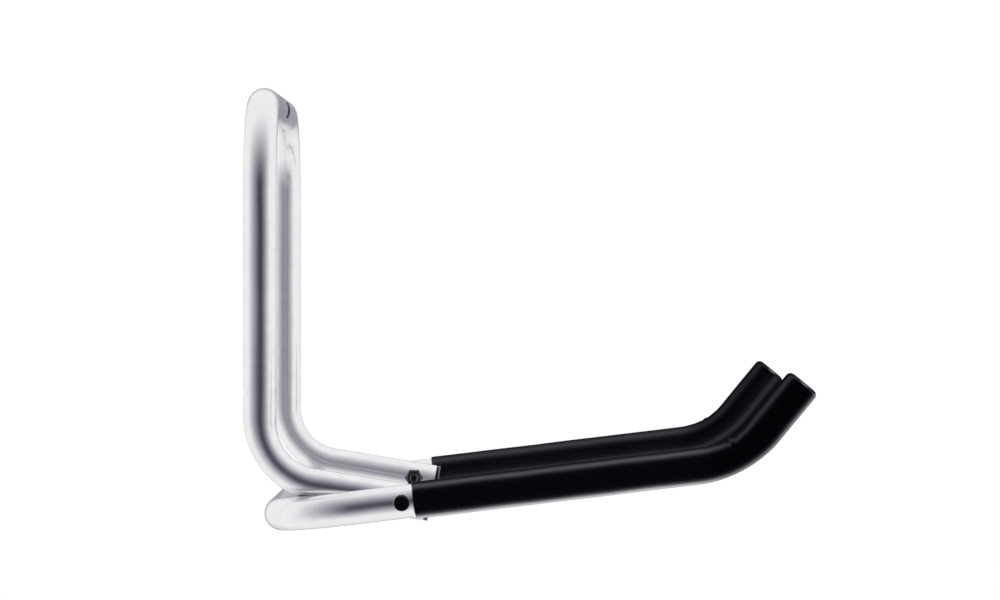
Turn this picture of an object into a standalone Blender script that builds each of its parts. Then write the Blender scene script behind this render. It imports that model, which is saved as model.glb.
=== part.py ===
"""A folding wall hanger for bicycles.

A wide inverted U of bent aluminium tube stands against the wall and its two legs bend forward at the foot.
A second bent tube, the carrying arm, straddles the legs and turns on one screw at each side. Its back bar
comes up under the foot bends as the stop. Soft sleeves with closed ends cover the arm's two legs.

The origin is on the wall, midway between the legs, level with the pivot screws. X points out of the wall,
Y along it to the right of someone who faces it, and Z up. Everything is in metres.
"""

import bpy
import bmesh
from math import atan2, copysign, cos, pi, radians, sin, sqrt, tan
from mathutils import Matrix, Vector

# Tube stock
TUBE_OD = 0.025
TUBE_WALL = 0.002
BEND_FLATTENING = 0.41          # loss of thickness in a bend, times the square of diameter over bend radius
BEND_STEP = radians(9.0)

# Wall frame, measured to the tube's centreline
LEG_SPACING = 0.370
FRAME_TOP = 0.300               # height of the top bar over the pivot screws
TOP_BEND_RADIUS = 0.064
FOOT_BEND_RADIUS = 0.0507
FOOT_SLOPE = radians(9.5)       # the foot's fall towards its end
FOOT_PAST_PIVOT = 0.0170
PIVOT_REACH = 0.1203            # from the wall to the pivot screws

# Wall-screw holes
TOP_SLOT_HEIGHT = 0.0127        # lets the screw head in, so that it clamps the back wall
TOP_SLOT_LENGTH = 0.034
WALL_HOLE = 0.0065
LEG_HOLE_HEIGHT = 0.082

# Carrying arm, measured from the pivot screws along its straight legs
ARM_RISE = radians(6.9)
ARM_BACK_REACH = 0.094
ARM_BACK_RADIUS = 0.0548
ARM_FRONT_REACH = 0.2235
ELBOW_RADIUS = 0.0746
ELBOW_ANGLE = radians(43.7)
TIP_LENGTH = 0.0430

# Soft sleeves
SLEEVE_WALL = 0.0010
SLEEVE_END = 0.0028
SLEEVE_EDGE_RADIUS = 0.0042
SLEEVE_START_LEFT = 0.0086      # from the pivot screw to the sleeve's open end
SLEEVE_START_RIGHT = 0.0153     # the right sleeve sits a little further out

# Pivot fasteners
SCREW_DIAMETER = 0.0078
SCREW_PAST_NUT = 0.001
SCREW_HOLE = 0.0086
HEAD_DIAMETER = 0.0114
HEAD_HEIGHT = 0.008
HEAD_CHAMFER = 0.0007
SOCKET_FLATS = 0.006
SOCKET_DEPTH = 0.004
TIP_CHAMFER = 0.001
WASHER_DIAMETER = 0.0127        # only just wider than the screw's head
WASHER_THICKNESS = 0.0016
SPACER_DIAMETER = 0.016
SPACER_THICKNESS = 0.0015
NUT_FLATS = 0.013
NUT_HEX_HEIGHT = 0.0057
NUT_HEIGHT = 0.0075
NUT_CONE = radians(30)
NUT_FACE_SHARE = 0.98           # the flat face's diameter over the width across the flats
NUT_BLANK_SHARE = 1.1           # the turned blank's radius over the hexagon's corner radius
NUT_COLLAR_DIAMETER = 0.0124
INSERT_DIAMETER = 0.0098
INSERT_THICKNESS = 0.0018
BUSH_DIAMETER = 0.011

# Leg plugs
PLUG_FLANGE = 0.0032
PLUG_EDGE_RADIUS = 0.0011
PLUG_DEPTH = 0.0095
PLUG_WALL = 0.0016
PLUG_RIB = 0.0004
PLUG_RIBS = 2

# Clearance between neighbours
GAP = 0.0003

TUBE_RADIUS = TUBE_OD / 2
BORE_RADIUS = TUBE_RADIUS - TUBE_WALL
LEG_Y = LEG_SPACING / 2
ARM_Y = LEG_Y + TUBE_OD + SPACER_THICKNESS + 2 * GAP
SLEEVE_BORE_RADIUS = TUBE_RADIUS + GAP
SLEEVE_RADIUS = SLEEVE_BORE_RADIUS + SLEEVE_WALL

# Distances from the middle plane to the seats of the pivot screw's head and nut
HEAD_WASHER_SEAT = ARM_Y + TUBE_RADIUS + GAP
HEAD_SEAT = HEAD_WASHER_SEAT + WASHER_THICKNESS + GAP
NUT_WASHER_SEAT = LEG_Y - TUBE_RADIUS - GAP
NUT_SEAT = NUT_WASHER_SEAT - WASHER_THICKNESS - GAP
SCREW_LENGTH = HEAD_SEAT - NUT_SEAT + NUT_HEIGHT + SCREW_PAST_NUT

# Mesh settings
OVERSHOOT = 0.010               # how far a cutter reaches past the face that it opens
MERGE_DISTANCE = 0.00001
TUBE_SIDES = 24
BORE_SIDES = 12
BORE_CORNER_RADIUS = BORE_RADIUS / cos(pi / BORE_SIDES)
ROUND_SEGMENTS = 24
HOLE_SEGMENTS = 20
ROUND_STEPS = 4
SMOOTH_BELOW = radians(35)
RIM_ABOVE = radians(60)
NEARLY_PARALLEL = 0.9

AXIS_X = Vector((1, 0, 0))
AXIS_Y = Vector((0, 1, 0))
AXIS_Z = Vector((0, 0, 1))


def clear_scene():
    for old in list(bpy.data.objects):
        bpy.data.objects.remove(old, do_unlink=True)


def new_collection(name):
    collection = bpy.data.collections.new(name)
    bpy.context.scene.collection.children.link(collection)
    return collection


def new_material(name, colour, metallic, roughness):
    material = bpy.data.materials.new(name)
    material.use_nodes = True
    shader = material.node_tree.nodes["Principled BSDF"]
    shader.inputs["Base Color"].default_value = (*colour, 1)
    shader.inputs["Metallic"].default_value = metallic
    shader.inputs["Roughness"].default_value = roughness
    return material


def new_part(name, mesh, material, parent=None):
    mesh.materials.clear()
    mesh.materials.append(material)
    mesh.shade_smooth()
    mesh.set_sharp_from_angle(angle=SMOOTH_BELOW)
    part = bpy.data.objects.new(name, mesh)
    part.parent = parent
    PARTS.objects.link(part)
    return part


def use_as_cutter(part, cutter, operation):
    cutter.hide_render = True
    cutter.display_type = "WIRE"
    CUTTERS.objects.link(cutter)
    boolean = part.modifiers.new(cutter.name, "BOOLEAN")
    boolean.operation = operation
    boolean.solver = "EXACT"
    boolean.object = cutter


def cut(part, name, mesh):
    """Take the mesh's shape out of the part. The cutter shares the part's parent."""
    cutter = bpy.data.objects.new(name, mesh)
    cutter.parent = part.parent
    use_as_cutter(part, cutter, "DIFFERENCE")


def bend_line(corners, radii, extend=0.0):
    """Centreline through the corners with each inner corner rounded to its radius.

    Returns the points and, for each bend, its centre, normal, start direction, radius and angle.
    """
    first = (corners[0] - corners[1]).normalized()
    last = (corners[-1] - corners[-2]).normalized()
    points = [corners[0] + first * extend]
    bends = []
    for before, corner, after, radius in zip(corners, corners[1:], corners[2:], radii):
        start_way = (corner - before).normalized()
        end_way = (after - corner).normalized()
        angle = start_way.angle(end_way)
        normal = start_way.cross(end_way).normalized()
        inward = normal.cross(start_way)
        centre = corner - start_way * radius * tan(angle / 2) + inward * radius
        bends.append((centre, normal, start_way, radius, angle))
        steps = round(angle / BEND_STEP)
        for step in range(steps + 1):
            turn = angle * step / steps
            points.append(centre - inward * radius * cos(turn) + start_way * radius * sin(turn))
    points.append(corners[-1] + last * extend)
    return points, bends


def flatten_bends(mesh, bends):
    """Draw each bend's inner and outer sides in, as a tube flattens where it is bent."""
    for centre, normal, start_way, radius, angle in bends:
        inward = normal.cross(start_way)
        loss = BEND_FLATTENING * (TUBE_OD / radius) ** 2
        for vertex in mesh.vertices:
            offset = vertex.co - centre
            height = offset.dot(normal)
            flat = offset - normal * height
            turn = atan2(flat.dot(start_way), -flat.dot(inward))
            across = flat.length - radius
            in_bend = 0 < turn < angle and abs(across) < TUBE_OD and abs(height) < TUBE_OD
            if in_bend:
                kept = 1 - loss * sin(pi * turn / angle)
                vertex.co = centre + normal * height + flat.normalized() * (radius + across * kept)


def round_bar(points, bends, radius, sides):
    """Mesh of a round bar along the points: a bevelled curve made solid, with its bends flattened."""
    curve = bpy.data.curves.new("bar", "CURVE")
    curve.dimensions = "3D"
    curve.bevel_depth = radius
    curve.bevel_resolution = (sides - 4) // 2
    curve.use_fill_caps = True
    spline = curve.splines.new("POLY")
    spline.points.add(len(points) - 1)
    for spline_point, point in zip(spline.points, points):
        spline_point.co = (*point, 1)
    holder = bpy.data.objects.new("bar", curve)
    bpy.context.scene.collection.objects.link(holder)
    depsgraph = bpy.context.evaluated_depsgraph_get()
    mesh = bpy.data.meshes.new_from_object(holder.evaluated_get(depsgraph))
    bpy.data.objects.remove(holder, do_unlink=True)
    bpy.data.curves.remove(curve)
    shape = bmesh.new()
    shape.from_mesh(mesh)
    bmesh.ops.remove_doubles(shape, verts=shape.verts, dist=MERGE_DISTANCE)
    bmesh.ops.recalc_face_normals(shape, faces=shape.faces)
    shape.to_mesh(mesh)
    shape.free()
    flatten_bends(mesh, bends)
    return mesh


def place_along(way, origin):
    """Matrix that turns local Z to the given way and moves it to the origin, with local X kept level."""
    side = AXIS_Y.cross(way) if abs(way.dot(AXIS_Y)) < NEARLY_PARALLEL else AXIS_X
    side = side.normalized()
    up = way.cross(side)
    return Matrix.Translation(origin) @ Matrix((side, up, way)).transposed().to_4x4()


def cylinder(radius, start, end, segments=ROUND_SEGMENTS, turn=0.0):
    """Mesh of a cylinder from one point to another."""
    way = end - start
    shape = bmesh.new()
    bmesh.ops.create_cone(
        shape,
        cap_ends=True,
        segments=segments,
        radius1=radius,
        radius2=radius,
        depth=way.length,
        matrix=place_along(way.normalized(), (start + end) / 2) @ Matrix.Rotation(turn, 4, "Z"),
    )
    mesh = bpy.data.meshes.new("cylinder")
    shape.to_mesh(mesh)
    shape.free()
    return mesh


def turned(name, profile, closed, origin, way, material, segments=ROUND_SEGMENTS, parent=None):
    """A part turned from a profile of radius and height pairs, with its axis along the given way."""
    mesh = bpy.data.meshes.new(name)
    corners = [Vector((radius, 0, height)) for radius, height in profile]
    edges = [(index, index + 1) for index in range(len(corners) - 1)]
    if closed:
        edges.append((len(corners) - 1, 0))
    mesh.from_pydata(corners, edges, [])
    part = new_part(name, mesh, material, parent)
    part.matrix_local = place_along(way, origin)
    screw = part.modifiers.new("turn", "SCREW")
    screw.axis = "Z"
    screw.steps = segments
    screw.render_steps = segments
    screw.use_merge_vertices = True
    screw.merge_threshold = MERGE_DISTANCE
    screw.use_smooth_shade = True
    return part


def fillet(radius, corner_r, corner_z):
    """Quarter round of a turned profile, from the flat end face to the outer side below it."""
    return [
        (corner_r - radius + radius * sin(turn), corner_z - radius + radius * cos(turn))
        for turn in (pi / 2 * step / ROUND_STEPS for step in range(ROUND_STEPS + 1))
    ]


def frame_line(extend=0.0):
    """Centreline of the wall frame from the left foot over the top to the right foot."""
    foot_height = (PIVOT_REACH - TUBE_RADIUS) * tan(FOOT_SLOPE)
    left = [
        Vector((PIVOT_REACH, -LEG_Y, 0)) + foot_way() * FOOT_PAST_PIVOT,
        Vector((TUBE_RADIUS, -LEG_Y, foot_height)),
        Vector((TUBE_RADIUS, -LEG_Y, FRAME_TOP)),
    ]
    right = [Vector((corner.x, -corner.y, corner.z)) for corner in reversed(left)]
    radii = [FOOT_BEND_RADIUS, TOP_BEND_RADIUS, TOP_BEND_RADIUS, FOOT_BEND_RADIUS]
    return bend_line(left + right, radii, extend)


def foot_way():
    return Vector((cos(FOOT_SLOPE), 0, -sin(FOOT_SLOPE)))


def elbow_and_tip(side, tip):
    """The elbow's corner in the arm's frame, and the point that lies the tip's length past its bend."""
    tangent = ELBOW_RADIUS * tan(ELBOW_ANGLE / 2)
    elbow = Vector((ARM_FRONT_REACH + tangent, side * ARM_Y, 0))
    return elbow, elbow + Vector((cos(ELBOW_ANGLE), 0, sin(ELBOW_ANGLE))) * (tangent + tip)


def arm_line(extend=0.0):
    """Centreline of the carrying arm in its own frame, from the left tip round the back to the right tip."""
    elbow, end = elbow_and_tip(-1, TIP_LENGTH)
    left = [end, elbow, Vector((-ARM_BACK_REACH, -ARM_Y, 0))]
    right = [Vector((corner.x, -corner.y, corner.z)) for corner in reversed(left)]
    radii = [ELBOW_RADIUS, ARM_BACK_RADIUS, ARM_BACK_RADIUS, ELBOW_RADIUS]
    return bend_line(left + right, radii, extend)


def sleeve_line(side, start, tip):
    """Centreline of one sleeve in the arm's frame, from its open end over the elbow."""
    elbow, end = elbow_and_tip(side, tip)
    return bend_line([Vector((start, side * ARM_Y, 0)), elbow, end], [ELBOW_RADIUS])


def make_wall_frame(material):
    points, bends = frame_line()
    frame = new_part("wall_frame", round_bar(points, bends, TUBE_RADIUS, TUBE_SIDES), material)
    cut(frame, "frame_bore", round_bar(*frame_line(OVERSHOOT), BORE_CORNER_RADIUS, BORE_SIDES))
    top = Vector((TUBE_RADIUS, 0, FRAME_TOP))
    cut(frame, "top_slot_front", slot_cutter(top, top + AXIS_X * TUBE_OD))
    cut(frame, "top_hole_back", cylinder(WALL_HOLE / 2, top - AXIS_X * TUBE_OD, top, HOLE_SEGMENTS))
    for side, label in SIDES:
        leg = Vector((TUBE_RADIUS, side * LEG_Y, LEG_HOLE_HEIGHT))
        leg_hole = cylinder(WALL_HOLE / 2, leg - AXIS_X * TUBE_OD, leg + AXIS_X * TUBE_OD, HOLE_SEGMENTS)
        cut(frame, "leg_hole_" + label, leg_hole)
        pivot = Vector((PIVOT_REACH, side * LEG_Y, 0))
        cut(frame, "frame_pivot_hole_" + label, pivot_cutter(pivot))
    return frame


def make_arm(material, pivot):
    points, bends = arm_line()
    arm = new_part("carrying_arm", round_bar(points, bends, TUBE_RADIUS, TUBE_SIDES), material, pivot)
    cut(arm, "arm_bore", round_bar(*arm_line(OVERSHOOT), BORE_CORNER_RADIUS, BORE_SIDES))
    for side, label in SIDES:
        cut(arm, "arm_pivot_hole_" + label, pivot_cutter(Vector((0, side * ARM_Y, 0))))
    return arm


def slot_cutter(start, end):
    """Cylinder whose two halves are drawn apart along Y, with flat faces between them."""
    mesh = cylinder(TOP_SLOT_HEIGHT / 2, start, end, turn=pi / ROUND_SEGMENTS)
    for vertex in mesh.vertices:
        vertex.co.y += copysign((TOP_SLOT_LENGTH - TOP_SLOT_HEIGHT) / 2, vertex.co.y)
    return mesh


def pivot_cutter(centre):
    return cylinder(SCREW_HOLE / 2, centre - AXIS_Y * TUBE_OD, centre + AXIS_Y * TUBE_OD)


def make_sleeve(side, label, start, material, pivot):
    """One soft sleeve: a bar round the arm's leg with its far edge rounded, hollowed from its open end."""
    line, bends = sleeve_line(side, start, TIP_LENGTH + GAP + SLEEVE_END)
    mesh = round_bar(line, [], SLEEVE_RADIUS, TUBE_SIDES)
    way = (line[-1] - line[-2]).normalized()
    shape = bmesh.new()
    shape.from_mesh(mesh)
    rim = [
        edge
        for edge in shape.edges
        if edge.calc_face_angle() > RIM_ABOVE
        and all(abs((vertex.co - line[-1]).dot(way)) < MERGE_DISTANCE for vertex in edge.verts)
    ]
    bmesh.ops.bevel(
        shape,
        geom=rim,
        offset=SLEEVE_EDGE_RADIUS,
        offset_type="OFFSET",
        segments=ROUND_STEPS,
        profile=0.5,
        affect="EDGES",
        clamp_overlap=True,
    )
    shape.to_mesh(mesh)
    shape.free()
    flatten_bends(mesh, bends)
    sleeve = new_part("grip_sleeve_" + label, mesh, material, pivot)
    inner, inner_bends = sleeve_line(side, start - OVERSHOOT, TIP_LENGTH + GAP)
    cut(sleeve, "sleeve_bore_" + label, round_bar(inner, inner_bends, SLEEVE_BORE_RADIUS, TUBE_SIDES))
    return sleeve


def make_leg_plug(side, label, material):
    """Plug pressed into a frame leg: a rounded flange over the tube's end and a ribbed hollow spigot."""
    spigot = BORE_RADIUS - GAP - PLUG_RIB
    rib_pitch = PLUG_DEPTH / (PLUG_RIBS + 1)
    profile = [(0, PLUG_FLANGE)]
    profile += fillet(PLUG_EDGE_RADIUS, TUBE_RADIUS, PLUG_FLANGE)
    profile += [(TUBE_RADIUS, 0), (spigot, 0)]
    for rib in range(1, PLUG_RIBS + 1):
        peak = -rib * rib_pitch
        profile += [(spigot, peak + PLUG_RIB), (spigot + PLUG_RIB, peak), (spigot, peak - PLUG_RIB)]
    profile += [(spigot, -PLUG_DEPTH), (spigot - PLUG_WALL, -PLUG_DEPTH), (spigot - PLUG_WALL, 0), (0, 0)]
    end = Vector((PIVOT_REACH, side * LEG_Y, 0)) + foot_way() * (FOOT_PAST_PIVOT + GAP)
    return turned("leg_plug_" + label, profile, False, end, foot_way(), material)


def make_ring(name, inner, outer, thickness, origin, way, material, parent=None):
    """Flat ring whose near face is at the origin, with its thickness along the given way."""
    profile = [(inner, thickness), (outer, thickness), (outer, 0), (inner, 0)]
    return turned(name, profile, True, origin, way, material, parent=parent)


def make_screw(label, under_head, outward, material):
    """Socket-head screw: head outward of the given point, shank back through both tubes."""
    head = HEAD_DIAMETER / 2
    shank = SCREW_DIAMETER / 2
    profile = [
        (0, HEAD_HEIGHT),
        (head - HEAD_CHAMFER, HEAD_HEIGHT),
        (head, HEAD_HEIGHT - HEAD_CHAMFER),
        (head, 0),
        (shank, 0),
        (shank, -SCREW_LENGTH + TIP_CHAMFER),
        (shank - TIP_CHAMFER, -SCREW_LENGTH),
        (0, -SCREW_LENGTH),
    ]
    screw = turned("pivot_screw_" + label, profile, False, under_head, outward, material)
    socket_radius = SOCKET_FLATS / sqrt(3)
    mouth = under_head + outward * (HEAD_HEIGHT + OVERSHOOT)
    floor = under_head + outward * (HEAD_HEIGHT - SOCKET_DEPTH)
    cut(screw, "socket_" + label, cylinder(socket_radius, floor, mouth, 6, pi / 6))
    return screw


def make_lock_nut(label, seat, inward, material):
    """Self-locking nut: a hexagon bar cut down to a turned blank, with a round collar for the nylon ring."""
    corner = NUT_FLATS / sqrt(3)
    bar = cylinder(corner, seat - inward * NUT_HEIGHT, seat + inward * NUT_HEIGHT * 2, 6, pi / 6)
    nut = new_part("lock_nut_" + label, bar, material)
    hole = SCREW_HOLE / 2
    collar = NUT_COLLAR_DIAMETER / 2
    recess = INSERT_DIAMETER / 2 + GAP
    recess_floor = NUT_HEIGHT - INSERT_THICKNESS - GAP
    across = NUT_FLATS / 2 * NUT_FACE_SHARE
    widest = corner * NUT_BLANK_SHARE
    cone_rise = (widest - across) * tan(NUT_CONE)
    blank = [
        (recess, NUT_HEIGHT),
        (collar - HEAD_CHAMFER, NUT_HEIGHT),
        (collar, NUT_HEIGHT - HEAD_CHAMFER),
        (collar, NUT_HEX_HEIGHT),
        (across, NUT_HEX_HEIGHT),
        (widest, NUT_HEX_HEIGHT - cone_rise),
        (widest, cone_rise),
        (across, 0),
        (hole, 0),
        (hole, recess_floor),
        (recess, recess_floor),
    ]
    turned_blank = turned("nut_blank_" + label, blank, True, seat, inward, material)
    PARTS.objects.unlink(turned_blank)
    use_as_cutter(nut, turned_blank, "INTERSECT")
    return nut


def make_pivot(side, label, materials, arm_pivot):
    """Everything on one pivot screw, from its head outside the arm leg to the nut inside the frame leg."""
    outward = AXIS_Y * side
    axis = Vector((PIVOT_REACH, 0, 0))
    zinc = materials["zinc"]
    nylon = materials["nylon"]
    hole = SCREW_HOLE / 2
    washer = WASHER_DIAMETER / 2
    insert = INSERT_DIAMETER / 2
    seat = axis + outward * HEAD_WASHER_SEAT
    make_ring("head_washer_" + label, hole, washer, WASHER_THICKNESS, seat, outward, zinc)
    make_screw(label, axis + outward * HEAD_SEAT, outward, materials["black_steel"])
    seat = axis + outward * (LEG_Y + TUBE_RADIUS + GAP)
    make_ring("spacer_washer_" + label, hole, SPACER_DIAMETER / 2, SPACER_THICKNESS, seat, outward, nylon)
    seat = axis + outward * NUT_WASHER_SEAT
    make_ring("nut_washer_" + label, hole, washer, WASHER_THICKNESS, seat, -outward, zinc)
    seat = axis + outward * NUT_SEAT
    make_lock_nut(label, seat, -outward, materials["black_steel"])
    seat -= outward * (NUT_HEIGHT - INSERT_THICKNESS)
    make_ring("nut_insert_" + label, hole, insert, INSERT_THICKNESS, seat, -outward, nylon)
    make_bush("frame_bush_" + label, axis + outward * LEG_Y, zinc, None)
    make_bush("arm_bush_" + label, outward * ARM_Y, zinc, arm_pivot)


def make_bush(name, centre, material, parent):
    """Distance bush across the tube's bore, which keeps the tightened screw from crushing the tube."""
    outer = BUSH_DIAMETER / 2
    half = sqrt(BORE_RADIUS ** 2 - outer ** 2) - GAP
    make_ring(name, SCREW_HOLE / 2, outer, 2 * half, centre - AXIS_Y * half, AXIS_Y, material, parent)


SIDES = ((-1, "left"), (1, "right"))
clear_scene()
PARTS = new_collection("folding_bike_wall_hanger")
CUTTERS = new_collection("cutters")
MATERIALS = {
    "aluminium": new_material("satin_aluminium", (0.80, 0.81, 0.83), 1.0, 0.28),
    "sleeve": new_material("black_soft_sleeve", (0.012, 0.012, 0.013), 0.0, 0.42),
    "plug": new_material("black_plug_plastic", (0.020, 0.020, 0.021), 0.0, 0.5),
    "black_steel": new_material("black_screw_steel", (0.022, 0.022, 0.024), 0.6, 0.4),
    "zinc": new_material("zinc_plated_steel", (0.62, 0.63, 0.65), 1.0, 0.35),
    "nylon": new_material("black_nylon", (0.015, 0.015, 0.016), 0.0, 0.55),
}

ARM_PIVOT = bpy.data.objects.new("arm_pivot", None)
ARM_PIVOT.location = (PIVOT_REACH, 0, 0)
ARM_PIVOT.rotation_euler = (0, -ARM_RISE, 0)
PARTS.objects.link(ARM_PIVOT)

make_wall_frame(MATERIALS["aluminium"])
make_arm(MATERIALS["aluminium"], ARM_PIVOT)
make_sleeve(-1, "left", SLEEVE_START_LEFT, MATERIALS["sleeve"], ARM_PIVOT)
make_sleeve(1, "right", SLEEVE_START_RIGHT, MATERIALS["sleeve"], ARM_PIVOT)
for pivot_side, side_label in SIDES:
    make_leg_plug(pivot_side, side_label, MATERIALS["plug"])
    make_pivot(pivot_side, side_label, MATERIALS, ARM_PIVOT)
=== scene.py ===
"""Finished look of a folding wall hanger for bicycles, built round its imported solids.

The wall is the plane x = 0. The pivot screws lie on one line along Y at PIVOT_REACH and z = 0. The carrying
arm's own frame starts there, turned up by ARM_RISE. Left is -Y and right is +Y. Everything is in metres.
"""

from math import atan2, ceil, copysign, cos, exp, hypot, pi, radians, sin, sqrt, tan

import bmesh
import bpy
import numpy as np
from mathutils import Matrix, Vector


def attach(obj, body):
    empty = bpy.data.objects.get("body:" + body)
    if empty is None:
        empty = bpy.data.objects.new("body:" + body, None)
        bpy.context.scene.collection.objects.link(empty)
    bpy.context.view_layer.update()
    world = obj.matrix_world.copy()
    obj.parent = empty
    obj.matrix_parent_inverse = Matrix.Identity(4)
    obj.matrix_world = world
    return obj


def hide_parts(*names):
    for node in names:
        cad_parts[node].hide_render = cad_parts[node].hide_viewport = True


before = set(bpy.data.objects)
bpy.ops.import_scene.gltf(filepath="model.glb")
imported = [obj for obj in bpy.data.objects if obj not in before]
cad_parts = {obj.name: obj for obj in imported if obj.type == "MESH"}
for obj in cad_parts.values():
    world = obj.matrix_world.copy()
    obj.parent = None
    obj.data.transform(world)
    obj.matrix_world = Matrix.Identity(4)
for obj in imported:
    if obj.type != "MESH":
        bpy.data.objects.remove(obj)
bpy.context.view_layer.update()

# Tubes, to their centrelines
TUBE_RADIUS = 0.0125
TUBE_WALL = 0.002
BORE_RADIUS = TUBE_RADIUS - TUBE_WALL
BEND_FLATTENING = 0.41
LEG_Y = 0.185
FRAME_TOP = 0.300
TOP_BEND_RADIUS = 0.064
FOOT_BEND_RADIUS = 0.0507
FOOT_SLOPE = radians(9.5)
FOOT_PAST_PIVOT = 0.0170
PIVOT_REACH = 0.1203
ARM_Y = 0.2121
ARM_RISE = radians(6.9)
ARM_BACK_REACH = 0.094
ARM_BACK_RADIUS = 0.0548
ARM_FRONT_REACH = 0.2235
ELBOW_RADIUS = 0.0746
ELBOW_ANGLE = radians(43.7)
TIP_LENGTH = 0.0430

# Wall-screw holes and pivot holes
TOP_SLOT_HEIGHT = 0.0127
TOP_SLOT_LENGTH = 0.034
WALL_HOLE = 0.0065
LEG_HOLE_HEIGHT = 0.082
PIVOT_HOLE = 0.0086

# Sleeves
SLEEVE_BORE = 0.0128
SLEEVE_RADIUS = 0.0138
SLEEVE_END = 0.0028
SLEEVE_EDGE_RADIUS = 0.0042
SLEEVE_STARTS = {"left": 0.0086, "right": 0.0153}
SLEEVE_FOLDS = {"left": (0.2547, 1.0), "right": (0.2537, 0.3)}

# Pivot fasteners
SCREW_RADIUS = 0.0039
SCREW_LENGTH = 0.065
HEAD_RADIUS = 0.0057
HEAD_HEIGHT = 0.008
HEAD_CHAMFER = 0.0007
KNURLS = 36
KNURL_DEPTH = 0.00022
SOCKET_FLATS = 0.006
SOCKET_DEPTH = 0.004
THREAD_LENGTH = 0.024
THREAD_PITCH = 0.00125
THREAD_DEPTH = 0.0006
THREAD_INSET = 0.0007
THREAD_RIDGE = THREAD_DEPTH * 1.15
SCREW_POINT = 0.0006
WASHER_RADIUS = 0.00635
WASHER_THICKNESS = 0.0016
SPACER_RADIUS = 0.008
SPACER_THICKNESS = 0.0015
NUT_FLATS = 0.013
NUT_HEX_HEIGHT = 0.0057
NUT_HEIGHT = 0.0075
NUT_COLLAR_RADIUS = 0.0062
NUT_COLLAR_ROUND = 0.0007
NUT_FACE_SHARE = 0.98
NUT_BLANK_SHARE = 1.1
INSERT_RADIUS = 0.0049
INSERT_THICKNESS = 0.0018
BUSH_RADIUS = 0.0055
BUSH_EDGE = 0.0004
RING_EDGE = 0.00035
GAP = 0.0003

# Plugs in the frame's feet
PLUG_FLANGE = 0.0032
PLUG_EDGE_RADIUS = 0.0011
PLUG_DEPTH = 0.0095
PLUG_WALL = 0.0016
PLUG_RIB = 0.0004
PLUG_STEP_HEIGHT = PLUG_FLANGE * 0.42
PLUG_STEP_DEPTH = 0.0003

# Mesh settings
TUBE_SIDES = 72
BORE_SIDES = 36
BEND_STEP = radians(2.5)
STRAIGHT_STEP = 0.006
SLEEVE_STEP = 0.0011
ROUND_SEGMENTS = 96
DRILL_SIDES = 64
OVERSHOOT = 0.010
SMOOTH_BELOW = radians(32)

AXIS_X = Vector((1, 0, 0))
AXIS_Y = Vector((0, 1, 0))
SIDES = {"left": -1, "right": 1}
ARM_PLACE = Matrix.Translation((PIVOT_REACH, 0, 0)) @ Matrix.Rotation(-ARM_RISE, 4, "Y")
FOOT_WAY = Vector((cos(FOOT_SLOPE), 0, -sin(FOOT_SLOPE)))


# Shader nodes

def feed(tree, socket, value):
    """Link a socket to another, or set it to a value."""
    if isinstance(value, bpy.types.NodeSocket):
        tree.links.new(value, socket)
    else:
        socket.default_value = value


def add_node(tree, kind, settings=None, **inputs):
    """New node with its settings; an input is a socket or a value. Underscores stand for spaces."""
    node = tree.nodes.new(kind)
    for name, value in (settings or {}).items():
        setattr(node, name, value)
    for name, value in inputs.items():
        feed(tree, node.inputs[name.replace("_", " ")], value)
    return node


def joined(tree, operation, *values):
    """Result of a math node on sockets or values."""
    node = add_node(tree, "ShaderNodeMath", {"operation": operation})
    for socket, value in zip(node.inputs, values):
        feed(tree, socket, value)
    return node.outputs[0]


def joined_vectors(tree, operation, *vectors):
    """Vector math node on sockets or values."""
    node = add_node(tree, "ShaderNodeVectorMath", {"operation": operation})
    for socket, value in zip(node.inputs, vectors):
        feed(tree, socket, value)
    return node


def blended(tree, factor, first, second):
    """Number between two others."""
    node = add_node(tree, "ShaderNodeMix", {"data_type": "FLOAT"})
    for index, value in ((0, factor), (2, first), (3, second)):
        feed(tree, node.inputs[index], value)
    return node.outputs[0]


def blended_colour(tree, factor, first, second):
    """Colour between two others."""
    node = add_node(tree, "ShaderNodeMix", {"data_type": "RGBA"})
    for index, value in ((0, factor), (6, first), (7, second)):
        feed(tree, node.inputs[index], value)
    return node.outputs[2]


def graded(tree, value, low, high, smooth=True, **ends):
    """Step of a value from 0 at low to 1 at high, or between other ends."""
    settings = {"interpolation_type": "SMOOTHSTEP" if smooth else "LINEAR"}
    node = add_node(tree, "ShaderNodeMapRange", settings, Value=value, From_Min=low, From_Max=high, **ends)
    return node.outputs[0]


def new_shader_group(name, vectors, numbers, result):
    """Empty shader group with the names of its vector inputs, its number inputs and its one result."""
    tree = bpy.data.node_groups.new(name, "ShaderNodeTree")
    for labels, kind in ((vectors, "NodeSocketVector"), (numbers, "NodeSocketFloat")):
        for label in labels:
            tree.interface.new_socket(label, in_out="INPUT", socket_type=kind)
    tree.interface.new_socket(result, in_out="OUTPUT", socket_type="NodeSocketFloat")
    return tree, tree.nodes.new("NodeGroupInput").outputs, tree.nodes.new("NodeGroupOutput").inputs[0]


def build_grain_group():
    """Noise stretched along chosen axes and graded between two values."""
    numbers = ("Scale", "Low", "High", "Detail")
    tree, entry, result = new_shader_group("graded_grain", ("Vector", "Stretch"), numbers, "Value")
    stretched = joined_vectors(tree, "MULTIPLY", entry["Vector"], entry["Stretch"])
    noise = add_node(tree, "ShaderNodeTexNoise", Vector=stretched.outputs[0], Scale=entry["Scale"],
                     Detail=entry["Detail"], Roughness=0.55)
    ends = {"To_Min": entry["Low"], "To_Max": entry["High"]}
    tree.links.new(graded(tree, noise.outputs["Fac"], 0.3, 0.7, False, **ends), result)
    return tree


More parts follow.
